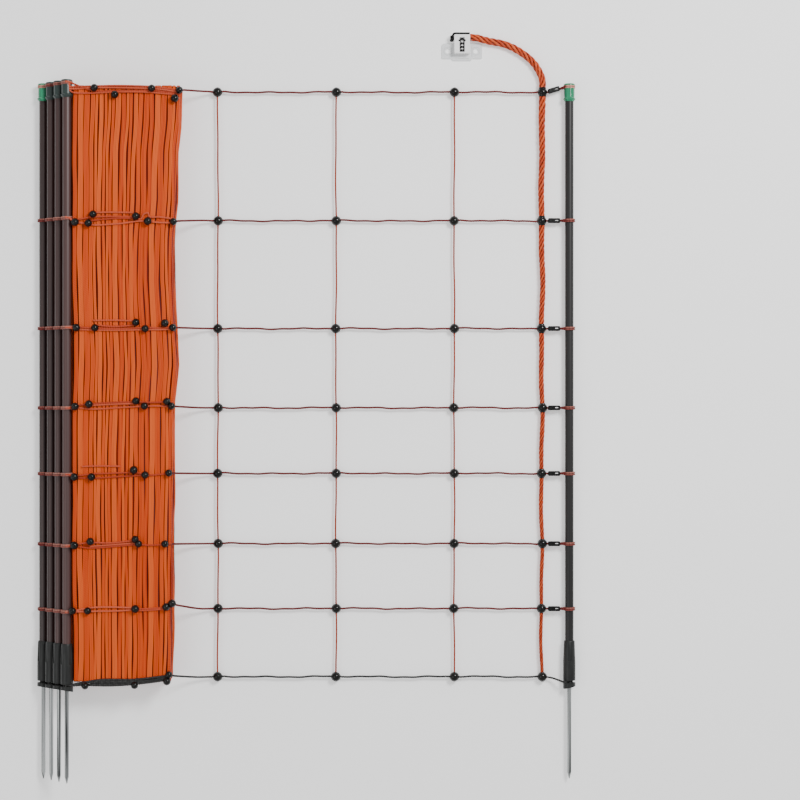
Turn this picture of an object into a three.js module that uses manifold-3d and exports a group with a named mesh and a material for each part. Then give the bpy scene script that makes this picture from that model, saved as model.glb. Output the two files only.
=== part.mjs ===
// Electric sheep netting, partly gathered and lying flat. Four posts lie stacked beside their folded
// bays of net, and one stretch of net lies open up to the end post. Sizes are in millimetres.
// +Y runs up the posts, +X runs along the net and +Z points off the floor. The origin is on the
// floor, midway between the axes of the first and last posts and midway along them.
import * as THREE from "three";
import { mergeVertices } from "three/addons/utils/BufferGeometryUtils.js";
import Module from "manifold-3d";

const wasm = await Module();
wasm.setup();

// Posts
const postLength = 1069;
const postSpan = 809;
const gatheredPosts = 4;
const gatheredStep = 14.2;
const clearance = 0.3;
const tubeDiameter = 13.1;
const spikeDiameter = 6.3;
const spikeTipDiameter = 1.3;
const spikeTipLength = 10;

// Sleeve at the foot of each post, with its slot for the ground line
const sleeveDiameter = 19;
const sleeveTopDiameter = 16.9;
const sleeveLength = 74;
const sleeveTaperLength = 30.5;
const sleeveChamfer = 1.4;
const sleeveAboveGroundLine = 56;
const sleeveSocketDepth = 46;
const slotHeight = 3.5;
const slotAboveSleeveBottom = 11.3;
const sleeveEndSlant = 4.3;
const recessWidth = 5.4;
const recessLength = 31;
const recessWall = 0.9;
const gatheredSlotTurn = 133;

// Cap on each post, with its groove for the top line
const capDiameter = 19;
const capBodyDiameter = 16.2;
const capGrooveDiameter = 12.8;
const capHeight = 27.4;
const capRimHeight = 3.2;
const capRimEdge = 0.9;
const capGrooveHeight = 3.6;
const capFlangeHeight = 1.2;
const capSkirtHeight = 3.4;
const capSocketDepth = 16.5;

// Net
const lineHeights = [0, 105, 205, 313, 414, 536, 702, 900];
const topLineBelowCapTop = 12.6;
const lineDiameter = 2.2;
const strandDiameter = 2.4;
const strandPitch = 182;
const lastStrandToRope = 136;
const bundleToFirstStrand = 36;
const ropeToEndPost = 41;
const knotDiameter = 14.5;
const ropeFootDiameter = 5.6;
const ropeTopDiameter = 11;
const ropeStubLength = 10;
const ferruleLength = 18.4;
const ferruleDiameter = 7.6;
const ferruleChamfer = 1;
const ferruleToKnot = 1.1;

// Folded bays of net
const bundleTopWidth = 160;
const bundleBottomWidth = 146;
const bundleOverhang = 8;
const foldedStrandWidth = 5.3;
const foldedGapDepth = 1.6;
const beltKnotDiameter = 12;
const beltKnotPlaces = [26, 98];
const beltKnotFromEdge = 5.5;

// Clip on the free end of the rope
const clipCentre = [239.5, 586.1];
const clipWidth = 61.6;
const clipWingHeight = 23;
const clipThickness = 2.2;
const clipCornerRadius = 4;
const clipTongueWidth = 31;
const clipTongueHeight = 3;
const clipHoleDiameter = 8;
const clipHoleSpacing = 43.2;
const clampWidth = 24.6;
const clampHeight = 32.4;
const clampThickness = 12;
const clampAbovePlateCentre = 10.8;
const clampSlotWidth = 8;
const clampSlotHeight = 22.5;
const clampSlotDepth = 6;
const clampSlotBelowCentre = 2.8;
const screwDiameter = 7;
const screwLength = 21.6;
const ropeTailWidth = 6;
const ropeTailHeight = 10;
const ropeTailThickness = 7;

// Route of the free end of the rope, from the top knot to the clamp
const freeRopeRoute = [
  [363.5, 532.4, 7.2],
  [363.5, 538, 7.1],
  [361.9, 546, 6.6],
  [358.3, 554, 6.2],
  [353.6, 562, 6.0],
  [347.6, 569.5, 5.9],
  [340.3, 576.3, 5.9],
  [332, 582.4, 5.9],
  [323, 588, 5.9],
  [313.5, 592.7, 5.9],
  [303.5, 596.3, 5.9],
  [293, 598.6, 6.0],
  [282, 600.4, 6.4],
  [271.5, 602.9, 7.2],
  [263, 605.2, 8.2],
  [257.5, 605.8, 8.4],
  [252.2, 605.8, 8.4],
];

// Numbers of sides of the round pieces
const tubeSides = 16;
const mouldedSides = 12;
const spikeSides = 10;
const loopSides = 10;
const knotSides = 8;
const lineSides = 6;
const ropeSides = 8;

// Places that follow from the sizes above
const tubeRadius = tubeDiameter / 2;
const spikeRadius = spikeDiameter / 2;
const sleeveRadius = sleeveDiameter / 2;
const socketRadius = boreRadius(tubeRadius, mouldedSides);
const spikeBoreRadius = boreRadius(spikeRadius, mouldedSides);
const lineRadius = lineDiameter / 2;
const knotRadius = knotDiameter / 2;
const netHeight = lineHeights[lineHeights.length - 1];
const capTopY = postLength / 2;
const topLineY = capTopY - topLineBelowCapTop;
const groundLineY = topLineY - netHeight;
const sleeveBottomY = groundLineY + sleeveAboveGroundLine - sleeveLength;
const slotY = sleeveBottomY + slotAboveSleeveBottom;
const grooveY = capTopY - capRimHeight - capGrooveHeight / 2;
const postRise = Math.sqrt((sleeveDiameter + clearance) ** 2 - gatheredStep ** 2);
const endPostX = postSpan / 2;
const ropeX = endPostX - ropeToEndPost;
const knotZ = knotRadius;
const lineZ = knotZ + strandDiameter / 2 + clearance + lineRadius;
const bundleTopZ = gatheredPosts * postRise - clearance;
const beltZ = bundleTopZ + clearance + lineRadius;
const layerLeftFromPost = sleeveRadius + clearance;
const bundleTopY = topLineY + bundleOverhang;
const bundleBottomY = groundLineY - bundleOverhang;

// As many open strands as the bundle leaves room for, counted back from the edge rope
const openWidth = ropeX - lastStrandToRope - bundleToFirstStrand - bundleRightX(bundleTopY);
const openStrands = Math.floor(openWidth / strandPitch) + 1;

// Materials
const finish = (color, roughness, metalness = 0) =>
  new THREE.MeshStandardMaterial({ color, roughness, metalness });
const tubeFinish = finish(0x4a4648, 0.45);
const sleeveFinish = finish(0x2a2b2b, 0.5);
const capFinish = finish(0x22805a, 0.35);
const steelFinish = finish(0x9aa0a2, 0.3, 0.9);
const strandFinish = finish(0xc85c2c, 0.7);
const lineFinish = finish(0x8f443a, 0.7);
const groundLineFinish = finish(0x1c1b1a, 0.6);
const ropeFinish = finish(0xb9552f, 0.75);
const ferruleFinish = finish(0x141414, 0.3);
const clipFinish = finish(0xe2e4e4, 0.3);
const clampFinish = finish(0xececec, 0.35);

const netting = new THREE.Group();

function addPiece(name, geometry, material, x = 0, y = 0, z = 0, parent = netting) {
  const mesh = new THREE.Mesh(geometry, material);
  mesh.name = name;
  mesh.position.set(x, y, z);
  parent.add(mesh);
  return mesh;
}

// Joining and cutting
function solidOf(geometry) {
  const bare = geometry.clone();
  bare.deleteAttribute("normal");
  bare.deleteAttribute("uv");
  const merged = mergeVertices(bare, 1e-3);
  const vertProperties = merged.attributes.position.array;
  const triVerts = new Uint32Array(merged.index.array);
  return new wasm.Manifold(new wasm.Mesh({ numProp: 3, vertProperties, triVerts }));
}

function geometryOf(solid) {
  const mesh = solid.getMesh();
  const geometry = new THREE.BufferGeometry();
  geometry.setAttribute("position", new THREE.BufferAttribute(mesh.vertProperties, 3));
  geometry.setIndex(new THREE.BufferAttribute(mesh.triVerts, 1));
  geometry.computeVertexNormals();
  return geometry;
}

function joined(geometries) {
  return geometryOf(geometries.map(solidOf).reduce((whole, piece) => whole.add(piece)));
}

function cut(geometry, tools) {
  return geometryOf(tools.map(solidOf).reduce((whole, tool) => whole.subtract(tool), solidOf(geometry)));
}

// Basic shapes
function turned(profile, sides) {
  return new THREE.LatheGeometry(
    profile.map(([radius, height]) => new THREE.Vector2(radius, height)),
    sides,
  );
}

// A bore with this many sides that clears a round of the given radius
function boreRadius(radius, sides) {
  return (radius + clearance) / Math.cos(Math.PI / sides);
}

function ringOfPoints(radius, sides) {
  return Array.from({ length: sides }, (_, i) => {
    const angle = (i / sides) * 2 * Math.PI;
    return new THREE.Vector2(radius * Math.cos(angle), radius * Math.sin(angle));
  });
}

// A smooth curve whose steps fall on its own points, so that a straight run is one step
class PointCurve extends THREE.CatmullRomCurve3 {
  getPointAt(u, target) {
    return this.getPoint(u, target);
  }

  getTangentAt(u, target) {
    return this.getTangent(u, target);
  }
}

function roundTube(points, radius, sides) {
  const route = points.map(([x, y, z]) => new THREE.Vector3(x, y, z));
  return new THREE.ExtrudeGeometry(new THREE.Shape(ringOfPoints(radius, sides)), {
    steps: points.length - 1,
    extrudePath: new PointCurve(route),
  });
}

// Posts
function tubeGeometry(length) {
  return new THREE.CylinderGeometry(tubeRadius, tubeRadius, length, tubeSides);
}

function capGeometry() {
  const rim = capDiameter / 2;
  const body = capBodyDiameter / 2;
  const groove = capGrooveDiameter / 2;
  const grooveTop = capHeight - capRimHeight;
  const grooveBottom = grooveTop - capGrooveHeight;
  return turned(
    [
      [0, capSocketDepth],
      [socketRadius, capSocketDepth],
      [socketRadius, 0],
      [body - capRimEdge, 0],
      [rim, capSkirtHeight],
      [rim, capSkirtHeight + capFlangeHeight],
      [body, capSkirtHeight + 2 * capFlangeHeight],
      [body, grooveBottom],
      [groove, grooveBottom],
      [groove, grooveTop],
      [rim, grooveTop],
      [rim, capHeight - capRimEdge],
      [rim - capRimEdge, capHeight],
      [0, capHeight],
    ],
    mouldedSides,
  );
}

function sleeveGeometry() {
  const topRadius = sleeveTopDiameter / 2;
  const socketFloor = sleeveLength - sleeveSocketDepth;
  const body = turned(
    [
      [spikeBoreRadius, 0],
      [sleeveRadius, 0],
      [sleeveRadius, sleeveLength - sleeveTaperLength],
      [topRadius, sleeveLength - sleeveChamfer],
      [topRadius - sleeveChamfer / 2, sleeveLength],
      [socketRadius, sleeveLength],
      [socketRadius, socketFloor],
      [spikeBoreRadius, socketFloor],
      [spikeBoreRadius, 0],
    ],
    mouldedSides,
  );
  const slotLeft = -loopRadius(spikeRadius) - lineRadius - clearance;
  const slot = new THREE.BoxGeometry(sleeveDiameter, slotHeight, 2 * sleeveDiameter);
  slot.translate(slotLeft + sleeveDiameter / 2, slotAboveSleeveBottom, 0);
  const slant = new THREE.BoxGeometry(3 * sleeveDiameter, sleeveDiameter, 2 * sleeveDiameter);
  slant.translate(0, -sleeveDiameter / 2, 0);
  slant.rotateZ(Math.atan2(sleeveEndSlant, sleeveDiameter));
  slant.translate(0, sleeveEndSlant / 2, 0);
  const recesses = [0, 1, 2, 3].map((quarter) => {
    const recess = new THREE.BoxGeometry(recessWidth, 2 * recessLength, sleeveRadius);
    recess.translate(0, sleeveLength, socketRadius + recessWall + sleeveRadius / 2);
    return recess.rotateY((quarter * Math.PI) / 2);
  });
  return cut(body, [slot, slant, ...recesses]);
}

function spikeGeometry(length) {
  return turned(
    [
      [0, 0],
      [spikeTipDiameter / 2, 0],
      [spikeRadius, spikeTipLength],
      [spikeRadius, length],
      [0, length],
    ],
    spikeSides,
  );
}

function gatheredPostPlace(index) {
  return { x: -postSpan / 2 + index * gatheredStep, z: sleeveRadius + index * postRise };
}

function addPosts() {
  const tubeBottomY = sleeveBottomY + sleeveLength - sleeveSocketDepth + clearance;
  const tubeTopY = capTopY - capHeight + capSocketDepth - clearance;
  const spikeTopY = sleeveBottomY + sleeveLength - sleeveSocketDepth - clearance;
  const shapes = {
    tube: tubeGeometry(tubeTopY - tubeBottomY),
    cap: capGeometry(),
    sleeve: sleeveGeometry(),
    spike: spikeGeometry(spikeTopY + capTopY),
  };
  const places = Array.from({ length: gatheredPosts }, (_, i) => gatheredPostPlace(i));
  places.push({ x: endPostX, z: sleeveRadius });
  places.forEach(({ x, z }, i) => {
    const post = new THREE.Group();
    post.position.set(x, 0, z);
    addPiece(`post_tube_${i + 1}`, shapes.tube, tubeFinish, 0, (tubeTopY + tubeBottomY) / 2, 0, post);
    addPiece(`post_cap_${i + 1}`, shapes.cap, capFinish, 0, capTopY - capHeight, 0, post);
    const sleeve = addPiece(`post_sleeve_${i + 1}`, shapes.sleeve, sleeveFinish, 0, sleeveBottomY, 0, post);
    sleeve.rotation.y = i < gatheredPosts ? THREE.MathUtils.degToRad(-gatheredSlotTurn) : 0;
    addPiece(`post_spike_${i + 1}`, shapes.spike, steelFinish, 0, -capTopY, 0, post);
    netting.add(post);
  });
}

// Strands and rope with a knot at each line, bored for the lines to pass
function knotted(radiusAt, x, stub = 0) {
  const profile = [];
  for (const height of lineHeights) {
    const reach = Math.acos(radiusAt(height) / knotRadius);
    for (const share of [-1, -0.4, 0.4, 1]) {
      const latitude = share * reach;
      profile.push([knotRadius * Math.cos(latitude), height + knotRadius * Math.sin(latitude)]);
    }
  }
  profile.unshift([0, profile[0][1]]);
  if (stub > 0) {
    profile.push([radiusAt(netHeight), netHeight + stub]);
  }
  profile.push([0, profile[profile.length - 1][1]]);
  const bores = lineHeights.map((height) => {
    const radius = boreRadius(lineRadius, lineSides);
    const bore = new THREE.CylinderGeometry(radius, radius, 2 * knotDiameter, lineSides);
    return bore.rotateZ(Math.PI / 2).translate(0, height, lineZ - knotZ);
  });
  return cut(turned(profile, knotSides), bores).translate(x, groundLineY, knotZ);
}

function openStrandX(index) {
  return ropeX - lastStrandToRope - (openStrands - 1 - index) * strandPitch;
}

function addStrandsAndRope() {
  for (let i = 0; i < openStrands; i++) {
    const strand = knotted(() => strandDiameter / 2, openStrandX(i));
    addPiece(`upright_strand_${i + 1}`, strand, strandFinish);
  }
  const ropeRadiusAt = (height) =>
    THREE.MathUtils.lerp(ropeFootDiameter, ropeTopDiameter, height / netHeight) / 2;
  addPiece("edge_rope", knotted(ropeRadiusAt, ropeX, ropeStubLength), ropeFinish);
  addPiece("rope_free_end", roundTube(freeRopeRoute, ropeTopDiameter / 2, ropeSides), ropeFinish);
}

// Lines, each one string from the first post to the end post
function loopRadius(coreRadius) {
  return boreRadius(coreRadius, loopSides) + lineRadius;
}

function loopGeometry(radius, x, y, z) {
  const section = [
    [radius - lineRadius, -lineRadius],
    [radius + lineRadius, 0],
    [radius - lineRadius, lineRadius],
    [radius - lineRadius, -lineRadius],
  ];
  return turned(section, loopSides).translate(x, y, z);
}

// The short length of string from one gathered post's loop to the next
function linkGeometry(index, radius, y) {
  const here = gatheredPostPlace(index);
  const next = gatheredPostPlace(index + 1);
  const length = sleeveDiameter + clearance - 2 * radius + lineRadius;
  const link = new THREE.CylinderGeometry(lineRadius, lineRadius, length, lineSides);
  link.rotateZ(-Math.PI / 2);
  link.rotateY(-Math.atan2(postRise, gatheredStep));
  return link.translate((here.x + next.x) / 2, y, (here.z + next.z) / 2);
}

function bundleRightX(y) {
  const left = gatheredPostPlace(gatheredPosts - 1).x + layerLeftFromPost;
  const share = (y - bundleBottomY) / (bundleTopY - bundleBottomY);
  return left + THREE.MathUtils.lerp(bundleBottomWidth, bundleTopWidth, share);
}

// From the last gathered post over the bundle, down its edge and straight through the open net
function lineStart(y, loopY, radius) {
  const post = gatheredPostPlace(gatheredPosts - 1);
  const right = bundleRightX(y);
  const firstStrand = openStrandX(0);
  return [
    [post.x, loopY, post.z + radius],
    [post.x + sleeveRadius + 1, loopY, Math.max(beltZ + 0.2, post.z + radius - 1.5)],
    [post.x + sleeveRadius + 9, y, beltZ + 0.2],
    [post.x + sleeveRadius + 16, y, beltZ],
    [right - 6, y, beltZ],
    [right - 0.5, y, beltZ + 0.35],
    [right + 2.5, y, beltZ - 0.8],
    [right + 7, y, beltZ - 6],
    [firstStrand - 22, y, lineZ + 6],
    [firstStrand - 14, y, lineZ + 1],
    [firstStrand - knotRadius - 1, y, lineZ],
    [ropeX + knotRadius, y, lineZ],
  ];
}

function beltKnots(y) {
  const left = gatheredPostPlace(gatheredPosts - 1).x + layerLeftFromPost;
  const places = [...beltKnotPlaces.map((x) => left + x), bundleRightX(y) - beltKnotFromEdge];
  const z = bundleTopZ + clearance + beltKnotDiameter / 2;
  return places.map((x) => new THREE.OctahedronGeometry(beltKnotDiameter / 2, 1).translate(x, y, z));
}

function addLine(name, y, loopY, coreRadius, lineEnd, material) {
  const radius = loopRadius(coreRadius);
  const pieces = [roundTube([...lineStart(y, loopY, radius), ...lineEnd], lineRadius, lineSides)];
  for (let i = 0; i < gatheredPosts; i++) {
    const post = gatheredPostPlace(i);
    pieces.push(loopGeometry(radius, post.x, loopY, post.z));
    if (i > 0) {
      pieces.push(linkGeometry(i - 1, radius, loopY));
    }
  }
  pieces.push(loopGeometry(radius, endPostX, loopY, sleeveRadius));
  addPiece(name, joined([...pieces, ...beltKnots(y)]), material);
}

// A crimped ferrule on the straight run from the edge knot to the end post
function addFerrule(name, y, loopY, endX) {
  const radius = ferruleDiameter / 2;
  const bore = boreRadius(lineRadius, lineSides);
  const half = ferruleLength / 2;
  const shape = turned(
    [
      [bore, -half],
      [radius - ferruleChamfer, -half],
      [radius, -half + ferruleChamfer],
      [radius, half - ferruleChamfer],
      [radius - ferruleChamfer, half],
      [bore, half],
      [bore, -half],
    ],
    ropeSides,
  );
  shape.rotateZ(-Math.PI / 2);
  const startX = ropeX + knotRadius;
  const angle = Math.atan2(loopY - y, endX - startX);
  const along = (ferruleToKnot + half) * Math.cos(angle);
  const ferrule = addPiece(name, shape, ferruleFinish, startX + along, y + along * Math.tan(angle), lineZ);
  ferrule.rotation.z = angle;
}

function addLines() {
  const last = lineHeights.length - 1;
  lineHeights.forEach((height, row) => {
    const y = groundLineY + height;
    if (row === 0) {
      const radius = loopRadius(spikeRadius);
      const overWall = sleeveRadius + sleeveRadius;
      const lineEnd = [
        [endPostX - sleeveRadius - 5, slotY + 1, overWall - 2.5],
        [endPostX - sleeveRadius, slotY, overWall - 0.7],
        [endPostX - sleeveRadius + 3.2, slotY, overWall - 0.8],
        [endPostX - 1.5, slotY, sleeveRadius + radius + 0.2],
      ];
      addLine("ground_line", y, slotY, spikeRadius, lineEnd, groundLineFinish);
      return;
    }
    const loopY = row === last ? grooveY : y;
    const coreRadius = row === last ? capGrooveDiameter / 2 : tubeRadius;
    const endX = endPostX - loopRadius(coreRadius);
    const name = row === last ? "top_line" : `net_line_${row + 1}`;
    addLine(name, y, loopY, coreRadius, [[endX, loopY, lineZ]], lineFinish);
    addFerrule(`ferrule_${row + 1}`, y, loopY, endX);
  });
}

// Folded bays, one layer for each gathered post, with the gaps between strands cut into their faces
function layerSection(width, bottomZ, topZ) {
  const strands = Math.round(width / foldedStrandWidth);
  const pitch = width / strands;
  const points = [];
  for (let i = 0; i < strands; i++) {
    const left = i * pitch;
    points.push([left, topZ - foldedGapDepth]);
    points.push([left + pitch * 0.3, topZ]);
    points.push([left + pitch * 0.7, topZ]);
  }
  points.push([width, topZ - foldedGapDepth], [width, bottomZ], [0, bottomZ]);
  return points;
}

function addFoldedLayers() {
  const length = bundleTopY - bundleBottomY;
  for (let i = 0; i < gatheredPosts; i++) {
    const left = gatheredPostPlace(i).x + layerLeftFromPost;
    const topWidth = bundleRightX(bundleTopY) - left;
    const bottomWidth = bundleRightX(bundleBottomY) - left;
    const points = layerSection(topWidth, i * postRise, (i + 1) * postRise - clearance);
    const section = new THREE.Shape(points.map(([x, z]) => new THREE.Vector2(x, z)));
    const layer = new THREE.ExtrudeGeometry(section, { depth: length, bevelEnabled: false });
    layer.rotateX(Math.PI / 2);
    const places = layer.attributes.position;
    for (let v = 0; v < places.count; v++) {
      if (places.getY(v) < -length / 2) {
        places.setX(v, (places.getX(v) * bottomWidth) / topWidth);
      }
    }
    addPiece(`folded_layer_${i + 1}`, layer, strandFinish, left, bundleTopY, 0);
  }
}

// Clip and clamp on the rope's free end, lying on the floor
function clipPlateGeometry() {
  const x = clipWidth / 2;
  const y = clipWingHeight / 2;
  const corner = clipCornerRadius;
  const tongue = clipTongueWidth / 2;
  const plate = new THREE.Shape();
  plate.moveTo(-x + corner, y);
  plate.quadraticCurveTo(-x, y, -x, y - corner);
  plate.lineTo(-x, -y);
  plate.lineTo(-tongue, -y);
  plate.lineTo(-tongue + clipTongueHeight, -y - clipTongueHeight);
  plate.lineTo(tongue, -y - clipTongueHeight);
  plate.lineTo(tongue, -y);
  plate.lineTo(x - corner, -y);
  plate.lineTo(x, -y + corner);
  plate.lineTo(x, y - corner);
  plate.quadraticCurveTo(x, y, x - corner, y);
  for (const side of [-1, 1]) {
    const hole = new THREE.Path();
    hole.absarc((side * clipHoleSpacing) / 2, 0, clipHoleDiameter / 2, 0, 2 * Math.PI, true);
    plate.holes.push(hole);
  }
  return new THREE.ExtrudeGeometry(plate, { depth: clipThickness, bevelEnabled: false, curveSegments: 5 });
}

function addClip() {
  const [x, y] = clipCentre;
  const clampBottomZ = clipThickness + clearance;
  const clampTopZ = clampBottomZ + clampThickness;
  const clampY = y + clampAbovePlateCentre;
  const slotCentreY = clampY - clampSlotBelowCentre;
  addPiece("clip_plate", clipPlateGeometry(), clipFinish, x, y, 0);
  const block = new THREE.BoxGeometry(clampWidth, clampHeight, clampThickness);
  const slot = new THREE.BoxGeometry(clampSlotWidth, clampSlotHeight, 2 * clampSlotDepth);
  slot.translate(0, -clampSlotBelowCentre, clampThickness / 2);
  addPiece("rope_clamp", cut(block, [slot]), clampFinish, x, clampY, (clampBottomZ + clampTopZ) / 2);
  const screw = new THREE.CylinderGeometry(screwDiameter / 2, screwDiameter / 2, screwLength, ropeSides);
  const screwZ = clampTopZ - clampSlotDepth + clearance + screwDiameter / 2;
  addPiece("clamp_screw", screw, steelFinish, x, slotCentreY, screwZ);
  const tail = new THREE.BoxGeometry(ropeTailWidth, ropeTailHeight, ropeTailThickness);
  const tailX = x - clampWidth / 2 - clearance - ropeTailWidth / 2;
  const [, ropeEndY, ropeEndZ] = freeRopeRoute[freeRopeRoute.length - 1];
  addPiece("rope_tail", tail, ferruleFinish, tailX, ropeEndY - 1, ropeEndZ);
}

addPosts();
addStrandsAndRope();
addLines();
addFoldedLayers();
addClip();

export default netting;
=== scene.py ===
# Electric sheep netting, seen from above as it lies on a pale floor.
# Lengths are in millimetres, in the frame of the solids, until a mesh is made.
import math

import bpy
import numpy as np
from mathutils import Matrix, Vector


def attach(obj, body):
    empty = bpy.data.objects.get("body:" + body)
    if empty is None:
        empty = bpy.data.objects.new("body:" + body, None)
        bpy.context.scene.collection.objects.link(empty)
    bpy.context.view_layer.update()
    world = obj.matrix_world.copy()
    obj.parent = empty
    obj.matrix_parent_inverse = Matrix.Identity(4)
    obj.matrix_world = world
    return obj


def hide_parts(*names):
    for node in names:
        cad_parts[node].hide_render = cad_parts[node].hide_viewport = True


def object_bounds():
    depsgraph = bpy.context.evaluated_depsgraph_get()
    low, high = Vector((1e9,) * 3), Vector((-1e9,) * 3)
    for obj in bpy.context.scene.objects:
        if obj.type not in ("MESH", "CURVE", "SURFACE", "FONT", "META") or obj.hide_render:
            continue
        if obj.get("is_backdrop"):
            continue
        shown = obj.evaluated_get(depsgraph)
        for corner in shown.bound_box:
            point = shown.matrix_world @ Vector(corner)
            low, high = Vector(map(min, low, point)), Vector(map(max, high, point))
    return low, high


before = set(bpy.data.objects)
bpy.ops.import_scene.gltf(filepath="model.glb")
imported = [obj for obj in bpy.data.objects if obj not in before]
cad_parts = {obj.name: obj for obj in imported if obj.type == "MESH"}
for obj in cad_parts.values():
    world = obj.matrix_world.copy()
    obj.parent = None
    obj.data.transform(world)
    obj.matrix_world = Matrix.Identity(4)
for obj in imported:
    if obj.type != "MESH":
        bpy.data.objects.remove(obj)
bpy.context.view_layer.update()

MM = 0.001
random = np.random.default_rng(11)

# Posts
CAP_TOP = 534.5
GATHERED = [(-404.5, 9.5), (-390.3, 22.57), (-376.1, 35.64), (-361.9, 48.71)]
END_POST = (404.5, 9.5)
POST_PITCH = 19.3
TUBE_RADIUS = 6.55
SPIKE_RADIUS = 3.15
SLEEVE_BOTTOM = -396.1
SLEEVE_RADIUS = 9.5
SLOT_Y = -384.8
SLOT_TURN = math.radians(133)
GROOVE_Y = 529.5
GROOVE_RADIUS = 6.4

# Net
ROW_Y = [-378.1, -273.1, -173.1, -65.1, 35.9, 157.9, 323.9, 521.9]
STRAND_X = [-136.5, 45.5, 227.5]
ROPE_X = 363.5
KNOT_Z = 7.25
KNOT_RADIUS = 7.15
LINE_RADIUS = 1.38
OPEN_RADIUS = 1.75
STRAND_RADIUS = 1.5
TWINE_TURN = 2 * math.pi / 11
BELT_Z = 53.5
BUNDLE_RIGHT = -192.1
LAYER_LEFT = 9.8
LAYER_HEIGHT = 13.07

# Clip
CLIP_X, CLIP_Y = 239.5, 586.1
CLAMP_Y = CLIP_Y + 10.8
HOLE_X = 21.6
HOLE_RADIUS = 4.1
SCREW_Z = 11.0
ROPE_END_Y, ROPE_END_Z = 605.8, 8.4

FREE_ROPE = [
    (363.5, 532.4, 7.2), (363.5, 538, 7.1), (361.9, 546, 6.6), (358.3, 554, 6.2),
    (353.6, 562, 6.0), (347.6, 569.5, 5.9), (340.3, 576.3, 5.9), (332, 582.4, 5.9),
    (323, 588, 5.9), (313.5, 592.7, 5.9), (303.5, 596.3, 5.9), (293, 598.6, 6.0),
    (282, 600.4, 6.4), (271.5, 602.9, 7.2), (263, 605.2, 8.2), (257.5, 605.8, 8.4),
    (252.2, 605.8, 8.4),
]


# Meshes: a part is its points and its faces, and a piece is made from many parts
def unit(v):
    return v / np.linalg.norm(v, axis=-1, keepdims=True)


def grid_part(points, tint=0.5, closed=False, caps=True):
    """Rings of points joined in a row, each ring closed on itself."""
    rings, sides = points.shape[:2]
    i = np.arange(rings if closed else rings - 1)[:, None]
    j = np.arange(sides)[None, :]
    here, there = i * sides, ((i + 1) % rings) * sides
    following = (j + 1) % sides
    quads = np.stack([here + j, here + following, there + following, there + j], -1)
    faces = quads.reshape(-1, 4).tolist()
    if caps and not closed:
        faces.append(list(range(sides))[::-1])
        faces.append(list(range((rings - 1) * sides, rings * sides)))
    return points.reshape(-1, 3), faces, tint


def smooth_path(points, step):
    p = np.asarray(points, float)
    p = np.vstack([2 * p[0] - p[1], p, 2 * p[-1] - p[-2]])
    out = []
    for a, b, c, d in zip(p, p[1:], p[2:], p[3:]):
        count = max(1, round(np.linalg.norm(c - b) / step))
        t = np.linspace(0, 1, count, endpoint=False)[:, None]
        out.append(b + 0.5 * t * (c - a + t * (2 * a - 5 * b + 4 * c - d + t * (3 * (b - c) + d - a))))
    return np.vstack(out + [p[-2:-1]])


def arc_lengths(path):
    return np.concatenate([[0], np.cumsum(np.linalg.norm(np.diff(path, axis=0), axis=1))])


def path_frames(path, closed=False):
    if closed:
        tangent = unit(np.roll(path, -1, 0) - np.roll(path, 1, 0))
    else:
        tangent = unit(np.gradient(path, axis=0))
    normal = np.zeros_like(path)
    guess = np.array([0.0, 0, 1] if abs(tangent[0, 2]) < 0.9 else [1.0, 0, 0])
    for i, along in enumerate(tangent):
        guess = unit(guess - guess.dot(along) * along)
        normal[i] = guess
    return tangent, normal, np.cross(tangent, normal)


def sweep(path, radius, sides=8, angle=None, lobes=0, depth=0.0, tint=0.5, closed=False):
    """A string along a path. angle turns each of its sections, and lobes shape them."""
    path = np.asarray(path, float)
    _, normal, side = path_frames(path, closed)
    base = np.arange(sides) * 2 * math.pi / sides
    size = np.broadcast_to(radius, len(path))[:, None] * (1 + depth * np.cos(lobes * base))
    turn = base + (np.zeros(len(path)) if angle is None else angle)[:, None]
    around = np.cos(turn)[..., None] * normal[:, None] + np.sin(turn)[..., None] * side[:, None]
    return grid_part(path[:, None] + size[..., None] * around, tint, closed)


def twine(path, radius=LINE_RADIUS, step=1.5, tint=0.5, closed=False, sides=9):
    """A three-ply string, turned along its length."""
    fine = np.asarray(path, float) if closed else smooth_path(path, step)
    if closed:
        angle = np.linspace(0, 2 * math.pi * 4, len(fine), endpoint=False)
    else:
        angle = arc_lengths(fine) * TWINE_TURN
    return sweep(fine, radius * 0.93, sides, angle, 3, 0.13, tint, closed)


PLY_SHADES = (0.0, 0.18, -0.1, 0.12, -0.16)


def laid_rope(path, radius, angle, plies=5, sides=8, tint=0.5):
    """Plies that wind round each other along a path, round a core given the darkest tint, with painted shade
    where they turn inwards and a painted highlight on their outer faces.
    """
    _, normal, side = path_frames(path)
    ply = radius / (1 + 1 / math.sin(math.pi / plies))
    # The core takes the darkest tint: painted shade seen in the gaps between the plies.
    parts = [sweep(path, radius * 0.42, 6, tint=0.0)]
    for k in range(plies):
        turn = angle + k * 2 * math.pi / plies
        around = np.cos(turn)[:, None] * normal + np.sin(turn)[:, None] * side
        centre = path + (radius - ply)[:, None] * around
        points, faces, _ = sweep(centre, ply * 1.03, sides, -2.2 * angle, 3, 0.09)
        size = np.repeat(np.broadcast_to(radius, len(path)), sides)
        out = np.linalg.norm(points - np.repeat(path, sides, 0), axis=1) / size
        # Darker towards the inside of each ply and lighter on its outside: painted shade in the grooves and a
        # painted highlight on top, added to each ply's own tone.
        shade = tint + PLY_SHADES[k] + np.interp(out, [0.7, 0.96], [-0.6, 0.2])
        parts.append((points, faces, shade))
    return parts


def lathe(profile, centre=(0, 0, 0), sides=32, tint=0.5, closed=False):
    """Turned about an axis along Y, from pairs of radius and height, the lowest first."""
    profile = np.asarray(profile, float)
    a = np.arange(sides) * 2 * math.pi / sides
    ring = np.stack([np.cos(a), np.zeros(sides), -np.sin(a)], -1)
    points = profile[:, 0, None, None] * ring + profile[:, 1, None, None] * np.array([0, 1, 0])
    return grid_part(points + np.array(centre, float), tint, closed)


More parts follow.
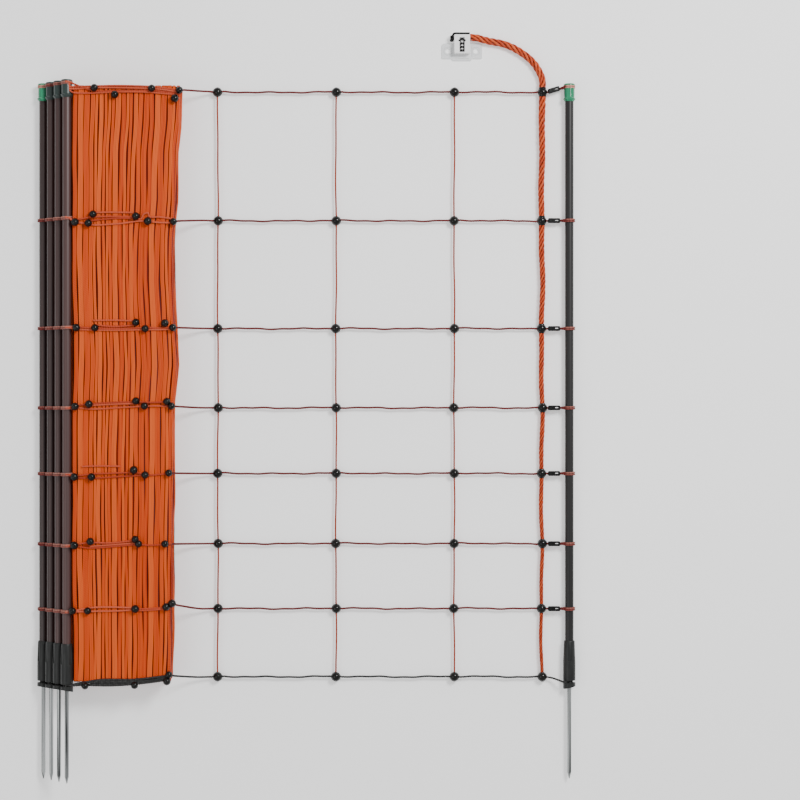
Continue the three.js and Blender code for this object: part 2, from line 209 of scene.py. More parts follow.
def moved(part, rows=None, offset=(0, 0, 0), tint=None):
    """The part with its axes set to the given rows and then shifted."""
    points, faces, old = part
    if rows is not None:
        points = points @ np.array(rows, float)
    return points + np.array(offset, float), faces, old if tint is None else tint


ALONG_X = [(0, 0, 1), (1, 0, 0), (0, 1, 0)]
ALONG_Z = [(0, 1, 0), (0, 0, 1), (1, 0, 0)]


def about_z(angle):
    c, s = math.cos(angle), math.sin(angle)
    return [(c, s, 0), (-s, c, 0), (0, 0, 1)]


def about_y(angle):
    c, s = math.cos(angle), math.sin(angle)
    return [(c, 0, -s), (0, 1, 0), (s, 0, c)]


def rounded_box(size, edge, centre=(0, 0, 0), tint=0.5):
    """A block with rounded corners seen along Z and softened rims."""
    x, y, z = (half / 2 for half in size)
    outline = []
    for quarter in range(4):
        cx, cy = (x - edge) * (1, -1, -1, 1)[quarter], (y - edge) * (1, 1, -1, -1)[quarter]
        for k in range(5):
            a = (quarter + k / 4) * math.pi / 2
            outline.append((cx, cy, math.cos(a), math.sin(a)))
    rim = min(edge, z) * 0.45
    rings = []
    for level, inset in ((-z, rim), (-z + rim, 0), (z - rim, 0), (z, rim)):
        reach = edge - inset
        rings.append([(cx + reach * ca, cy + reach * sa, level) for cx, cy, ca, sa in outline])
    points, faces, _ = grid_part(np.array(rings))
    return points + np.array(centre, float), faces, tint


def mesh_from(parts):
    points, faces, tints, start = [], [], [], 0
    for part_points, part_faces, tint in parts:
        points.append(part_points)
        tints.append(np.broadcast_to(tint, len(part_points)))
        faces.extend([v + start for v in face] for face in part_faces)
        start += len(part_points)
    mesh = bpy.data.meshes.new("mesh")
    mesh.from_pydata((np.vstack(points) * MM).tolist(), [], faces)
    attribute = mesh.attributes.new("tint", "FLOAT", "POINT")
    attribute.data.foreach_set("value", np.concatenate(tints).astype(np.float32))
    return mesh


def piece(name, parts, material, slot, *nodes, smooth=40):
    mesh = mesh_from(parts)
    mesh.name = name
    mesh.shade_smooth()
    mesh.set_sharp_from_angle(angle=math.radians(smooth))
    obj = bpy.data.objects.new(name, mesh)
    bpy.context.scene.collection.objects.link(obj)
    mesh.materials.append(material)
    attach(obj, "root")
    if nodes:
        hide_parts(*nodes)
    return obj


def carved(body, tools):
    """The body with the tools cut away."""
    objects = []
    for parts in ([body], tools):
        obj = bpy.data.objects.new("carving", mesh_from(parts))
        bpy.context.scene.collection.objects.link(obj)
        objects.append(obj)
    modifier = objects[0].modifiers.new("cut", "BOOLEAN")
    modifier.object = objects[1]
    modifier.operation = "DIFFERENCE"
    modifier.solver = "EXACT"
    modifier.use_self = True
    evaluated = objects[0].evaluated_get(bpy.context.evaluated_depsgraph_get())
    mesh = evaluated.to_mesh()
    points = np.array([v.co for v in mesh.vertices]) / MM
    faces = [list(p.vertices) for p in mesh.polygons]
    evaluated.to_mesh_clear()
    for obj in objects:
        bpy.data.objects.remove(obj)
    return points, faces, 0.5


# Materials
class Nodes:
    """A material's node tree, written as calls."""

    def __init__(self, name):
        self.material = bpy.data.materials.new(name)
        self.material.use_nodes = True
        self.tree = self.material.node_tree
        self.shader = self.tree.nodes["Principled BSDF"]
        self.place = self.tree.nodes.new("ShaderNodeTexCoord").outputs["Object"]

    def add(self, kind, inputs=None, **settings):
        node = self.tree.nodes.new(kind)
        for key, value in settings.items():
            setattr(node, key, value)
        for key, value in (inputs or {}).items():
            if isinstance(value, bpy.types.NodeSocket):
                self.tree.links.new(value, node.inputs[key])
            else:
                node.inputs[key].default_value = value
        return node

    def scaled(self, scale):
        return self.add("ShaderNodeMapping", {"Vector": self.place, "Scale": scale}).outputs[0]

    def noise(self, scale, detail=3.0, stretch=(1, 1, 1)):
        inputs = {"Vector": self.scaled(stretch), "Scale": scale, "Detail": detail}
        return self.add("ShaderNodeTexNoise", inputs).outputs["Fac"]

    def waves(self, scale, direction, distortion=0.0):
        inputs = {"Vector": self.scaled(direction), "Scale": scale, "Distortion": distortion}
        return self.add("ShaderNodeTexWave", inputs, bands_direction="DIAGONAL").outputs["Fac"]

    def math(self, operation, a, b):
        return self.add("ShaderNodeMath", {0: a, 1: b}, operation=operation).outputs[0]

    def tint(self):
        return self.add("ShaderNodeAttribute", attribute_name="tint").outputs["Fac"]

    def ramp(self, factor, stops):
        node = self.add("ShaderNodeValToRGB", {"Fac": factor})
        elements = node.color_ramp.elements
        while len(elements) < len(stops):
            elements.new(0.5)
        for element, (position, colour) in zip(elements, stops):
            element.position = position
            element.color = (*colour, 1)
        return node.outputs["Color"]

    def bump(self, height, distance, strength=1.0):
        inputs = {"Height": height, "Distance": distance, "Strength": strength}
        return self.add("ShaderNodeBump", inputs).outputs["Normal"]

    def finish(self, colour, normal=None, roughness=None, **uniform):
        self.tree.links.new(colour, self.shader.inputs["Base Color"])
        if normal is not None:
            self.tree.links.new(normal, self.shader.inputs["Normal"])
        if roughness is not None:
            self.tree.links.new(roughness, self.shader.inputs["Roughness"])
        for key, value in uniform.items():
            self.shader.inputs[key.replace("_", " ")].default_value = value
        return self.material


def srgb(r, g, b):
    return tuple(((c / 255 + 0.055) / 1.055) ** 2.4 if c > 10 else c / 255 / 12.92 for c in (r, g, b))


def varied(nodes, amount, grain):
    """The piece's own tint, moved a little up and down by a grain."""
    shift = nodes.math("MULTIPLY", nodes.math("SUBTRACT", grain, 0.5), amount)
    return nodes.math("ADD", nodes.tint(), shift)


def twine_material(name, stops, grain_scale=900.0, roughness=0.5):
    n = Nodes(name)
    grain = n.noise(grain_scale, 4.0)
    patches = n.noise(22.0, 2.0)
    factor = varied(n, 0.35, n.math("ADD", n.math("MULTIPLY", grain, 0.5), n.math("MULTIPLY", patches, 0.5)))
    colour = n.ramp(factor, stops)
    normal = n.bump(grain, 0.0002, 0.7)
    return n.finish(colour, normal, Roughness=roughness, Specular_IOR_Level=0.25)


def strand_material():
    n = Nodes("folded strand twine")
    lay = n.waves(230.0, (0.55, 0.8, 0.6), 0.4)
    grain = n.noise(700.0, 3.0, (1, 0.25, 1))
    drift = n.noise(9.0, 2.0)
    mixed = n.math("ADD", n.math("MULTIPLY", lay, 0.45), n.math("MULTIPLY", drift, 0.55))
    factor = varied(n, 0.32, mixed)
    stops = [
        (0.0, srgb(76, 4, 0)),
        (0.3, srgb(160, 30, 1)),
        (0.65, srgb(202, 72, 6)),
        (1.0, srgb(216, 92, 30)),
    ]
    height = n.math("ADD", n.math("MULTIPLY", lay, 0.8), n.math("MULTIPLY", grain, 0.2))
    return n.finish(n.ramp(factor, stops), n.bump(height, 0.0004, 0.8), Roughness=0.5, Specular_IOR_Level=0.2)


def plastic_material(name, dark, light, scale, stretch, roughness, bump, amount=0.5, **uniform):
    n = Nodes(name)
    grain = n.noise(scale, 4.0, stretch)
    factor = varied(n, amount, grain)
    return n.finish(
        n.ramp(factor, [(0.1, dark), (0.9, light)]), n.bump(grain, bump, 0.6), Roughness=roughness, **uniform
    )


FOLDED = strand_material()
TWINE = twine_material(
    "strand twine",
    [(0.0, srgb(112, 32, 16)), (0.5, srgb(152, 58, 32)), (1.0, srgb(186, 88, 60))],
)
# Open runs and post loops of the net lines: a darker copy of the colour these lines have as belts, painted
# shade.
LINE_PAINTED_SHADE = twine_material(
    "line twine with painted shade",
    [(0.0, srgb(60, 12, 12)), (0.5, srgb(104, 32, 30)), (1.0, srgb(196, 142, 126))],
)
BELT = twine_material(
    "belt twine",
    [(0.0, srgb(110, 24, 10)), (0.5, srgb(182, 66, 36)), (1.0, srgb(208, 98, 68))],
)
ROPE = twine_material(
    "laid rope",
    [(0.0, srgb(46, 6, 1)), (0.5, srgb(170, 54, 16)), (1.0, srgb(204, 90, 44))],
    600.0,
)
GROUND = plastic_material(
    "black ground line", srgb(10, 10, 10), srgb(34, 33, 32), 500.0, (1, 1, 1), 0.42, 0.0002
)
TUBE = plastic_material(
    "fibreglass tube",
    srgb(12, 12, 12),
    srgb(48, 47, 47),
    160.0,
    (1, 0.012, 1),
    0.4,
    0.00005,
    amount=0.8,
    Specular_IOR_Level=0.3,
)
# Tubes of the gathered posts: the same fibreglass with a warm cast, painted bounce light from the netting.
TUBE_PAINTED_BOUNCE_AND_SHADE = plastic_material(
    "fibreglass tube with painted bounce light and shade", srgb(26, 20, 21), srgb(96, 62, 58), 160.0, (1, 0.012, 1), 0.4, 0.00005
)
SLEEVE = plastic_material(
    "sleeve plastic",
    srgb(6, 6, 6),
    srgb(42, 44, 43),
    260.0,
    (1, 0.2, 1),
    0.42,
    0.0001,
    amount=0.9,
    Specular_IOR_Level=0.3,
)
# Green cap: its dark and light streaks are partly the plastic's own tone and partly painted highlight.
CAP_PAINTED_HIGHLIGHT = plastic_material(
    "green cap plastic with painted highlight streaks",
    srgb(2, 58, 38),
    srgb(44, 172, 122),
    150.0,
    (1, 0.12, 1),
    0.16,
    0.00004,
    amount=1.1,
    Transmission_Weight=0.15,
)
DARK_CAP = plastic_material(
    "dark cap plastic", srgb(18, 26, 26), srgb(44, 60, 56), 60.0, (1, 0.3, 1), 0.3, 0.00004
)
# Spike: the steel's grey, streaked near black to near white along its length by painted reflection.
STEEL_PAINTED_REFLECTION = plastic_material(
    "galvanised spike with painted reflection streaks",
    srgb(14, 15, 16),
    srgb(206, 210, 210),
    380.0,
    (1, 0.012, 1),
    0.3,
    0.00004,
    amount=2.2,
    Metallic=0.85,
)
KNOT = plastic_material(
    "knot plastic", srgb(3, 4, 3), srgb(20, 19, 17), 220.0, (1, 1, 1), 0.12, 0.00004, Specular_IOR_Level=0.3
)
BLACK = plastic_material(
    "black plastic", srgb(2, 2, 2), srgb(16, 17, 17), 200.0, (1, 1, 1), 0.4, 0.0001, Specular_IOR_Level=0.25
)
CLIP = plastic_material(
    "clip plastic",
    srgb(222, 224, 225),
    srgb(240, 241, 242),
    90.0,
    (1, 1, 1),
    0.3,
    0.00005,
    Transmission_Weight=0.2,
)
CLAMP = plastic_material(
    "clamp plastic", srgb(228, 228, 228), srgb(250, 250, 250), 120.0, (1, 1, 1), 0.35, 0.00005
)


# Camera straight above
CAMERA_HEIGHT = 2950.0
VIEW_WIDTH = 1232.0
camera_data = bpy.data.cameras.new("camera")
camera_data.sensor_width = 36
camera_data.lens = 36 * (CAMERA_HEIGHT - KNOT_Z) / VIEW_WIDTH
camera = bpy.data.objects.new("camera", camera_data)
camera.location = (0.144, 0.0479, CAMERA_HEIGHT * MM)
bpy.context.scene.collection.objects.link(camera)
bpy.context.scene.camera = camera


# Edge rope and its free end, laid in five plies
def rope_angle(path, radius):
    """Turn of the plies along the rope: one turn in a length of 5 diameters."""
    rate = 2 * math.pi / (10.0 * radius)
    steps = np.linalg.norm(np.diff(path, axis=0), axis=1)
    return np.concatenate([[0], np.cumsum(steps * (rate[:-1] + rate[1:]) / 2)])


EDGE_STEPS = 480
edge_y = np.linspace(ROW_Y[0] - 1, FREE_ROPE[0][1], EDGE_STEPS)
edge_path = np.stack([np.full(EDGE_STEPS, ROPE_X), edge_y, np.full(EDGE_STEPS, KNOT_Z)], -1)
edge_path[:, 0] += 0.6 * np.sin(edge_y / 16) + 0.8 * np.sin(edge_y / 33 + 1)
edge_path[:, 0] += np.interp(edge_y, [-378, 300, 440, 500], [-1.8, -0.8, -1.8, 0])
edge_path[-12:, 0] = np.linspace(edge_path[-12, 0], ROPE_X, 12)
edge_radius = np.interp(edge_y, [ROW_Y[0], ROW_Y[-1]], [2.9, 5.5])
edge_radius[:-30] *= 1 - 0.07 * np.abs(np.sin(edge_y[:-30] / 11))
edge_angle = rope_angle(edge_path, edge_radius)

free_path = smooth_path(FREE_ROPE, 2.0)
free_radius = np.full(len(free_path), 5.5)
free_angle = edge_angle[-1] + rope_angle(free_path, free_radius)
free_rope = piece(
    "free_rope", laid_rope(free_path, free_radius, free_angle, sides=12), ROPE, "rope", "rope_free_end"
)


# Clip at the end of the rope
def clip_outline():
    half, wing, corner, tongue = 30.8, 11.5, 4.0, 15.5
    points = []
    for sign in (-1, 1):
        arc = [
            (-half + corner - corner * math.sin(a), wing - corner + corner * math.cos(a))
            for a in np.linspace(0, math.pi / 2, 6)
        ]
        low = [(-half, -wing + 1.2), (-half + 1.2, -wing), (-tongue - 0.8, -wing), (-tongue + 2.2, -wing - 3)]
        side = arc + low
        points += side if sign < 0 else [(-x, y) for x, y in reversed(side)]
    return points


def clip_plate():
    curve = bpy.data.curves.new("clip outline", "CURVE")
    curve.dimensions = "2D"
    curve.fill_mode = "BOTH"
    curve.extrude = 0.75 * MM
    curve.bevel_depth = 0.35 * MM
    curve.bevel_resolution = 2
    turns = np.linspace(0, 2 * math.pi, 28, endpoint=False)
    circle = [(HOLE_RADIUS * math.cos(a), HOLE_RADIUS * math.sin(a)) for a in turns]
    loops = [clip_outline()] + [[(x + side * HOLE_X, y) for x, y in circle] for side in (-1, 1)]
    for loop in loops:
        spline = curve.splines.new("POLY")
        spline.points.add(len(loop) - 1)
        for point, (x, y) in zip(spline.points, loop):
            point.co = ((x + CLIP_X) * MM, (y + CLIP_Y) * MM, 1.1 * MM, 1)
        spline.use_cyclic_u = True
    obj = bpy.data.objects.new("clip outline", curve)
    bpy.context.scene.collection.objects.link(obj)
    evaluated = obj.evaluated_get(bpy.context.evaluated_depsgraph_get())
    mesh = evaluated.to_mesh()
    part = (np.array([v.co for v in mesh.vertices]) / MM, [list(p.vertices) for p in mesh.polygons], 0.5)
    evaluated.to_mesh_clear()
    bpy.data.objects.remove(obj)
    return part


def ring_on_plate(x, y, radius, thickness, z=2.1):
    a = np.linspace(0, 2 * math.pi, 36, endpoint=False)
    path = np.stack([x + radius * np.cos(a), y + radius * np.sin(a), np.full(36, z)], -1)
    return sweep(path, thickness, 8, closed=True, tint=0.35)


plate_parts = [clip_plate()]
for side in (-1, 1):
    plate_parts.append(ring_on_plate(CLIP_X + side * HOLE_X, CLIP_Y, 6.2, 0.5))
    plate_parts.append(rounded_box((0.9, 17, 1.0), 0.4, (CLIP_X + side * 15.6, CLIP_Y, 2.3), 0.3))
plate_parts.append(rounded_box((22, 0.9, 1.0), 0.4, (CLIP_X, CLIP_Y - 11.4, 2.3), 0.3))
clip = piece("clip_body", plate_parts, CLIP, "clip_plastic", "clip_plate")

clamp_bottom, clamp_height = 2.5, 11.8
block = rounded_box((24.4, 32.2, clamp_height), 1.6, (CLIP_X, CLAMP_Y, clamp_bottom + clamp_height / 2))
tools = [rounded_box((8.2, 22.7, 12.2), 1.0, (CLIP_X, CLAMP_Y - 2.8, clamp_bottom + clamp_height))]
tools.append(moved(lathe([(4.9, -10), (4.9, 10)], sides=28), ALONG_X, (CLIP_X + 16, ROPE_END_Y, ROPE_END_Z)))
shaft = lathe([(1.6, CLAMP_Y - 13.2), (1.6, CLAMP_Y + 7.6)], (CLIP_X, 0, SCREW_Z), 16, 0.6)
clamp = piece("clamp_block", [carved(block, tools), shaft], CLAMP, "clamp_plastic", "rope_clamp", smooth=30)

screw_parts = []
for low, top in ((582.6, 587.2), (589.0, 592.4), (594.3, 597.8)):
    profile = [(2.2, low), (3.3, low + 0.5), (3.3, top - 0.5), (2.2, top)]
    screw_parts.append(lathe(profile, (CLIP_X, 0, SCREW_Z), 20, 0.3))
for side in (-1, 1):
    wing = rounded_box((6.8, 2.5, 1.6), 0.5)
    screw_parts.append(moved(wing, about_z(side * -0.55), (CLIP_X + side * 2.5, 601.6, 14.3), 0.2))
screw = piece("clamp_screw_detail", screw_parts, BLACK, "black_plastic", "clamp_screw", smooth=30)
bar_path = [
    (11.8, 611.3, 13.8), (0, 611.3, 13.8), (-11.4, 611.2, 13.7),
    (-13.6, 609.6, 12.6), (-14.8, 606.4, 10),
]
bar_path = smooth_path([(CLIP_X + x, y, z) for x, y, z in bar_path], 1.0)
bar_parts = [sweep(bar_path, 1.7, 10, tint=0.2)]
bar = piece("clamp_hinge", bar_parts, BLACK, "black_plastic")

# Sealed ends of four plies, which stand out of the clamp's far side
TAIL_PROFILE = [(0.9, -3.0), (2.0, -2.4), (2.3, 0), (2.0, 2.4), (0.9, 3.0)]
tail_x = CLIP_X - 12.5 - 2.9
tail_parts = []
for k, (dx, dy, dz) in enumerate([(0, 2.2, 0.6), (0.4, -1.2, 1.0), (-0.5, -3.2, -0.6), (0.2, 0.4, -1.4)]):
    middle = (tail_x + dx, 604.8 + dy, ROPE_END_Z + dz)
    tail_parts.append(moved(lathe(TAIL_PROFILE, sides=16), ALONG_X, middle, 0.2 + 0.15 * k))
tail = piece("rope_tail_detail", tail_parts, BLACK, "black_plastic", "rope_tail")


# Floor and light
floor_mesh = bpy.data.meshes.new("floor")
floor_mesh.from_pydata([(-6, -6, 0), (6, -6, 0), (6, 6, 0), (-6, 6, 0)], [], [(0, 1, 2, 3)])
floor = bpy.data.objects.new("floor", floor_mesh)
bpy.context.scene.collection.objects.link(floor)
floor_nodes = Nodes("pale floor")
floor_grain = floor_nodes.noise(3.0, 2.0)
floor_pale = floor_nodes.ramp(floor_grain, [(0.3, (0.88, 0.88, 0.88)), (0.7, (0.9, 0.9, 0.9))])
floor_mesh.materials.append(
    floor_nodes.finish(floor_pale, Roughness=0.9, Emission_Color=(1, 1, 1, 1), Emission_Strength=0.35)
)
floor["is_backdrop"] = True

world = bpy.data.worlds.new("studio")
bpy.context.scene.world = world
world.use_nodes = True
world.node_tree.nodes["Background"].inputs["Color"].default_value = (1, 1, 1, 1)
world.node_tree.nodes["Background"].inputs["Strength"].default_value = 0.7


def area_light(name, place, target, size, power):
    data = bpy.data.lights.new(name, "AREA")
    data.shape = "DISK"
    data.size = size
    data.energy = power
    obj = bpy.data.objects.new(name, data)
    obj.location = place
    obj.rotation_euler = (Vector(target) - Vector(place)).to_track_quat("-Z", "Y").to_euler()
    bpy.context.scene.collection.objects.link(obj)
    obj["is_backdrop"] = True


area_light("key", (1.5, 1.4, 2.3), (0, 0, 0), 0.9, 85)
area_light("fill", (-1.8, -0.6, 2.4), (0, 0, 0), 1.8, 14)


# Posts: tube, cap, sleeve and spike
CAP_PROFILE = [
    (7.0, -27.4), (7.3, -27.0), (9.3, -24.2), (9.5, -23.8), (9.5, -23.1), (9.3, -22.9),
    (8.35, -22.2), (8.1, -21.8),
    (8.1, -7.0), (7.9, -6.8), (6.5, -6.7), (6.4, -6.5), (6.4, -3.5), (6.6, -3.3), (8.6, -3.2), (8.85, -3.0),
    (8.9, -2.2), (8.7, -1.2), (8.1, -0.5), (7.0, -0.15), (4.0, 0.0), (0.4, 0.0),
]
SLEEVE_PROFILE = [
    (3.3, 0), (9.2, 0), (9.5, 0.4), (9.5, 43.5), (9.42, 46), (8.5, 72.2), (8.3, 73.2), (7.9, 73.9),
    (7.2, 74), (6.9, 73.6), (6.9, 30), (3.3, 29),
]
SPIKE_PROFILE = [(0.6, 0), (0.75, 0.2), (3.0, 9.4), (3.15, 10.6), (3.15, 166)]


def sleeve_part():
    body = lathe(SLEEVE_PROFILE, sides=56, closed=True)
    slot = rounded_box((19, 3.6, 40), 0.3, (-5.8 + 9.5, 11.3, 0))
    slant = moved(rounded_box((60, 20, 40), 0.3, (0, -10, 0)), about_z(math.atan2(4.3, 19)), (0, 2.1, 0))
    tools = [slot, slant]
    for quarter in range(4):
        recess = rounded_box((5.4, 62, 2.4), 1.1, (0, 74, 9.4))
        tools.append(moved(recess, about_y(quarter * math.pi / 2)))
    return carved(body, tools)


sleeve_shape = sleeve_part()
tube_bottom, tube_top = -367.8, 523.3
for i, (x, z) in enumerate(GATHERED + [END_POST]):
    number = i + 1
    last = i == len(GATHERED)
    # The lower a gathered post lies in the stack, the darker its tint: painted shade.
    tint = 0.46 if last else 0.22 + 0.08 * i
    tube = lathe([(TUBE_RADIUS, y) for y in (tube_bottom, tube_top)], (x, 0, z), 48, tint)
    piece(f"tube_{number}", [tube], TUBE if last else TUBE_PAINTED_BOUNCE_AND_SHADE, "post_tube", f"post_tube_{number}")
    cap = lathe([(r, CAP_TOP + h) for r, h in CAP_PROFILE], (x, 0, z), 48, 0.55)
    cap_material = CAP_PAINTED_HIGHLIGHT if last or i == 0 else DARK_CAP
    piece(f"cap_{number}", [cap], cap_material, "post_cap", f"post_cap_{number}", smooth=30)
    turn = 0.0 if last else -SLOT_TURN
    sleeve = moved(sleeve_shape, about_y(turn), (x, SLEEVE_BOTTOM, z), 0.5)
    piece(f"sleeve_{number}", [sleeve], SLEEVE, "post_sleeve", f"post_sleeve_{number}", smooth=30)
    spike = lathe([(r, y - CAP_TOP) for r, y in SPIKE_PROFILE], (x, 0, z), 32, 0.5)
    piece(f"spike_{number}", [spike], STEEL_PAINTED_REFLECTION, "spike_steel", f"post_spike_{number}")


# Moulded knots
def ball(radius, flat=1.0, tint=0.5, sides=20, rings=11):
    latitudes = np.linspace(-math.pi / 2 * 0.94, math.pi / 2 * 0.94, rings)
    points, faces, _ = lathe([(radius * math.cos(a), radius * math.sin(a)) for a in latitudes], sides=sides)
    return points * np.array([1, 1, flat]), faces, tint


def knot(place, radius, turn=0.0, tint=0.5):
    """A moulded ball with a collar on each side and a raised seam."""
    parts = [ball(radius, 0.99, tint)]
    reach, collar = radius * 1.04, radius * 0.24
    for k in range(4):
        profile = [(collar, 0), (collar, reach - 0.7), (collar * 0.8, reach)]
        parts.append(moved(lathe(profile, sides=12, tint=tint), about_z(k * math.pi / 2)))
    a = np.linspace(0, 2 * math.pi, 28, endpoint=False)
    circle = np.stack([np.cos(a), np.sin(a), np.zeros(28)], -1) * radius
    parts.append(sweep(circle, 0.3, 5, closed=True, tint=tint))
    return [moved(part, about_z(turn), place) for part in parts]


def row_knot(x, y):
    """The knot where an upright of the net crosses a row, turned a little."""
    turn = random.normal(0, 0.08)
    tint = random.uniform(0.2, 0.6)
    return knot((x, y, KNOT_Z), KNOT_RADIUS, turn, tint)


def wavy_line(xs, y, z, phase, size=1.0):
    """Points along a slack line, which rises and falls a little."""
    wave = 0.45 * np.sin(xs / 5.6 + phase) + 0.7 * np.sin(xs / 13.5 + phase) + 0.5 * np.sin(xs / 31.0)
    return np.stack([xs, y + size * wave, np.full(len(xs), float(z))], -1)


# Upright strands of the open net, and the edge rope
for i, x in enumerate(STRAND_X):
    ys = np.linspace(ROW_Y[0], ROW_Y[-1], 40)
    xs = x + 0.5 * np.sin(ys / 45 + i * 2) + 0.3 * np.sin(ys / 17 + i)
    path = np.stack([xs, ys, np.full(40, KNOT_Z)], -1)
    node = f"upright_strand_{i + 1}"
    piece(f"open_strand_{i + 1}", [twine(path, STRAND_RADIUS, 1.6, 0.45)], TWINE, "strand", node)
    parts = []
    for y in ROW_Y:
        parts += row_knot(np.interp(y, ys, xs), y)
    piece(f"open_knots_{i + 1}", parts, KNOT, "knot_plastic", node)

rope_parts = laid_rope(edge_path, edge_radius, edge_angle, sides=10)
piece("edge_rope_laid", rope_parts, ROPE, "rope", "edge_rope")
parts = []
for y in ROW_Y:
    x = np.interp(y, edge_y, edge_path[:, 0])
    parts += row_knot(x, y)
    neck = np.interp(y, [ROW_Y[0], ROW_Y[-1]], [3.2, 5.9])
    profile = [(neck - 0.6, y - 7.3), (neck, y - 6.4), (neck, y + 6.4), (neck - 0.6, y + 7.3)]
    parts.append(lathe(profile, (x, 0, KNOT_Z), 20, 0.4))
piece("edge_knots", parts, KNOT, "knot_plastic", "edge_rope")

# Strings and knots of each row where it crosses the bundle: X, and Y from the row's own height
BELTS = [
    (
        [
            [(-353, 3.2), (-311, 1.6), (-259, 2.2), (-208, 8.0)],
            [(-355, 0.1), (-335, -2.2), (-295, -2.9), (-259, -1.7), (-235, 0.9), (-208, 5.4)],
            [(-353, -3.7), (-335, -6.2), (-295, -6.8), (-259, -4.7), (-220, 0.1), (-208, 3.2)],
            [(-353, -1.4), (-318, -5.2), (-280, -5.3), (-235, -1.4), (-208, 2.4)],
            [(-353, 1.6), (-318, -0.6), (-280, -0.6), (-235, 1.0), (-208, 6.5)],
        ],
        [(-333, -6.9), (-258, -6.1), (-209, 0.0), (-206, 9.8)],
    ),
    (
        [
            [(-352, 2.7), (-324, 6.1), (-292, 7.0), (-258, 5.8)],
            [(-352, 0.5), (-320, 0.8), (-288, 1.2), (-258, 3.0)],
            [(-258, 4.2), (-235, 4.8), (-211, 6.8), (-202, 11.8)],
            [(-258, 2.0), (-235, 2.4), (-211, 4.5), (-203, 5.2)],
        ],
        [(-352, 1.7), (-329, 1.7), (-257, 4.7), (-210, 7.7), (-201, 13.0)],
    ),
    (
        [
            [(-350, -0.3), (-323, -3.3), (-280, -0.3), (-253, 2.0), (-235, 0.8), (-212, 2.3), (-202, 3.5)],
            [(-350, 1.2), (-326, 5.0), (-295, 4.3), (-258, 8.1)],
            [(-326, -1.0), (-288, 1.8), (-255, 4.3)],
        ],
        [(-349, 0.8), (-325, 6.8), (-257, 9.9), (-252, 3.1), (-212, 3.1)],
    ),
    (
        [
            [(-338, 12.2), (-311, 13.0), (-280, 12.5)],
            [(-349, -2.2), (-324, 0.8), (-292, 2.1), (-259, 3.1), (-242, 0.8)],
            [(-350, -4.5), (-317, -5.2), (-280, -3.0), (-247, -1.1)],
            [(-242, -1.4), (-226, -0.4), (-207, 1.6), (-201, 2.4)],
        ],
        [(-349, -3.5), (-323, -3.5), (-242, -0.5), (-206, 2.5), (-259, 7.0)],
    ),
    (
        [
            [(-349, 2.9), (-327, 5.9), (-292, 8.2), (-257, 9.0)],
            [(-327, 3.7), (-292, 5.6), (-258, 6.7)],
            [(-349, 0.6), (-320, -1.7), (-280, 0.6), (-244, 2.6), (-220, 2.9), (-201, 1.4)],
            [(-258, 9.7), (-235, 8.2), (-209, 9.3), (-201, 5.9)],
        ],
        [(-348, 2.2), (-327, 5.9), (-256, 10.5), (-243, 2.9), (-209, 9.7), (-202, 2.9)],
    ),
    (
        [
            [(-321, 10.5), (-292, 10.9), (-259, 10.0)],
            [(-347, 0.6), (-320, -0.9), (-280, -1.8), (-242, -0.1), (-220, -0.9), (-200, 0.6)],
            [(-347, -2.4), (-320, -3.9), (-280, -4.2), (-242, -3.2), (-220, -3.3), (-200, -2.4)],
            [(-320, 3.7), (-288, 1.4), (-256, 3.7)],
        ],
        [(-346, -0.3), (-318, -0.7), (-256, 7.6), (-242, -2.0), (-212, 6.5), (-200, -0.3)],
    ),
    (
        [
            [(-323, 8.2), (-292, 8.6), (-261, 8.2)],
            [(-349, -3.2), (-323, 1.3), (-292, 2.1), (-256, 1.3)],
            [(-329, -4.7), (-292, -0.9), (-261, -0.5)],
            [
                (-349, -6.2), (-329, -8.5), (-318, -10.8), (-280, -8.5),
                (-250, -4.7), (-220, -7.0), (-199, -7.0),
            ],
            [(-256, -0.2), (-249, -1.7), (-245, 5.1), (-238, 7.4), (-235, 1.3), (-220, 1.3), (-198, -1.7)],
        ],
        [(-348, -6.6), (-328, -8.1), (-256, 2.5), (-238, -5.1), (-199, -5.9), (-321, 5.5)],
    ),
    (
        [
            [(-356, 1.1), (-320, 1.9), (-280, 2.6), (-233, 1.1), (-192, -4.2)],
            [(-356, -1.9), (-311, -0.4), (-233, -1.9), (-195, -6.5)],
            [(-352, -5.7), (-320, -5.0), (-280, -5.0), (-233, -5.0), (-212, -7.2), (-191, -9.6)],
            [(-350, -8.0), (-280, -6.9), (-242, -7.2), (-192, -11.3)],
        ],
        [(-319, -1.1), (-232, -1.8), (-190, -4.8), (-288, -11.5), (-197, -17.2)],
    ),
]


def post_loop(x, z, y, radius, tint, turns=2):
    """Turns of string side by side round a post."""
    parts = []
    for k in range(turns):
        a = np.linspace(0, 2 * math.pi, 40, endpoint=False)
        shift = (k - (turns - 1) / 2) * 2.6
        lean = 0.25 * np.sin(a + k)
        ring = np.stack([x + radius * np.cos(a), y + shift + lean, z - radius * np.sin(a)], -1)
        parts.append(twine(ring, LINE_RADIUS - 0.03, closed=True, tint=tint + 0.1 * k))
    return parts


